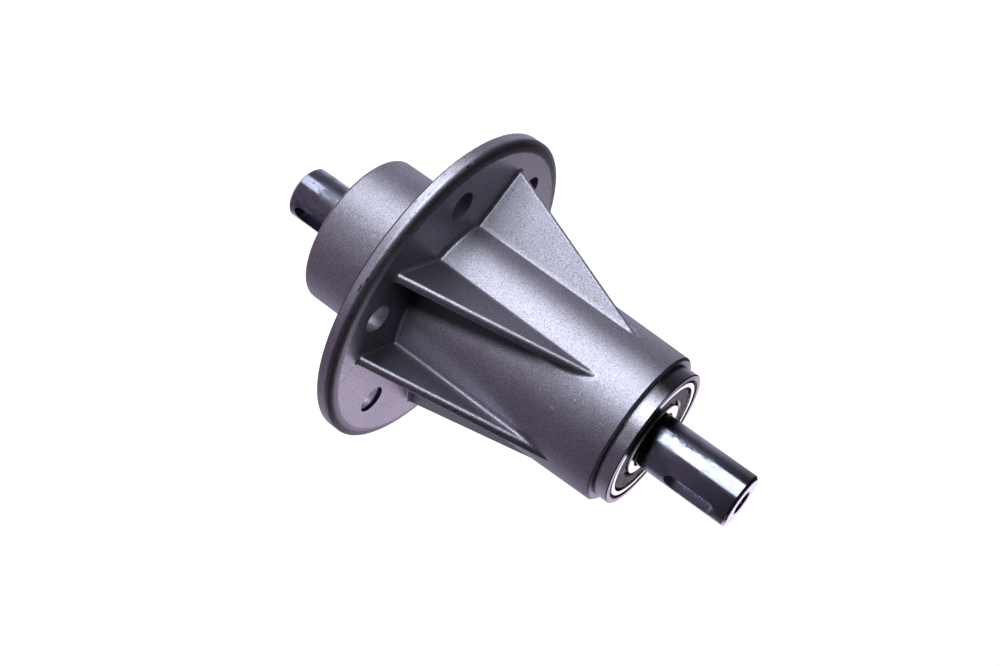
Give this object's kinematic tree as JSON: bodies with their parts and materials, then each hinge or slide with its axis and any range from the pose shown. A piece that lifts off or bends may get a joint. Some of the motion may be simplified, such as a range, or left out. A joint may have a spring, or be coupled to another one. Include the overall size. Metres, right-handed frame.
{
  "type": "mower deck spindle",
  "caption": "Ribbed cast spindle housing with a bolt flange and a keyed shaft turning on shielded ball bearings, for the blade and pulley of a mower deck.",
  "frame": {"origin": "on the shaft's axis, in the plane of the flange face that sits on the deck", "axes": "+Z along the shaft towards the ribbed barrel and the pulley end; +X through one bolt hole"},
  "size_m": [0.123, 0.123, 0.1933],
  "materials": {
    "cast_aluminium": "as cast and blasted, matt",
    "shaft_steel": "dark, ground and oiled",
    "sleeve_steel": "plain drawn tube",
    "ring_steel": "ground and polished",
    "shield_steel": "pressed sheet, satin",
    "cage_steel": "pressed sheet",
    "ball_steel": "polished"
  },
  "bodies": {
    "housing": {"housing": "cast_aluminium", "upper_bearing_outer_ring": "ring_steel", "upper_bearing_top_shield": "shield_steel", "upper_bearing_bottom_shield": "shield_steel", "lower_bearing_outer_ring": "ring_steel", "lower_bearing_top_shield": "shield_steel", "lower_bearing_bottom_shield": "shield_steel"},
    "shaft": {"shaft": "shaft_steel", "spacer_sleeve": "sleeve_steel", "upper_bearing_inner_ring": "ring_steel", "lower_bearing_inner_ring": "ring_steel"},
    "upper_cage": {"upper_bearing_top_cage_half": "cage_steel", "upper_bearing_bottom_cage_half": "cage_steel", "upper_bearing_cage_rivets": "cage_steel", "upper_bearing_ball_1": "ball_steel", "upper_bearing_ball_2": "ball_steel", "upper_bearing_ball_3": "ball_steel", "upper_bearing_ball_4": "ball_steel", "upper_bearing_ball_5": "ball_steel", "upper_bearing_ball_6": "ball_steel", "upper_bearing_ball_7": "ball_steel", "upper_bearing_ball_8": "ball_steel"},
    "lower_cage": {"lower_bearing_top_cage_half": "cage_steel", "lower_bearing_bottom_cage_half": "cage_steel", "lower_bearing_cage_rivets": "cage_steel", "lower_bearing_ball_1": "ball_steel", "lower_bearing_ball_2": "ball_steel", "lower_bearing_ball_3": "ball_steel", "lower_bearing_ball_4": "ball_steel", "lower_bearing_ball_5": "ball_steel", "lower_bearing_ball_6": "ball_steel", "lower_bearing_ball_7": "ball_steel", "lower_bearing_ball_8": "ball_steel"}
  },
  "joints": [
    {"name": "shaft_spin", "type": "hinge", "parent": "housing", "child": "shaft", "pos_m": [0, 0, 0], "axis": [0, 0, 1], "continuous": true},
    {"name": "upper_cage_spin", "type": "hinge", "parent": "housing", "child": "upper_cage", "pos_m": [0, 0, 0], "axis": [0, 0, 1], "continuous": true},
    {"name": "lower_cage_spin", "type": "hinge", "parent": "housing", "child": "lower_cage", "pos_m": [0, 0, 0], "axis": [0, 0, 1], "continuous": true}
  ],
  "couplings": [
    {"joint": "upper_cage_spin", "follows": "shaft_spin", "ratio": 0.38152},
    {"joint": "lower_cage_spin", "follows": "shaft_spin", "ratio": 0.38152}
  ]
}
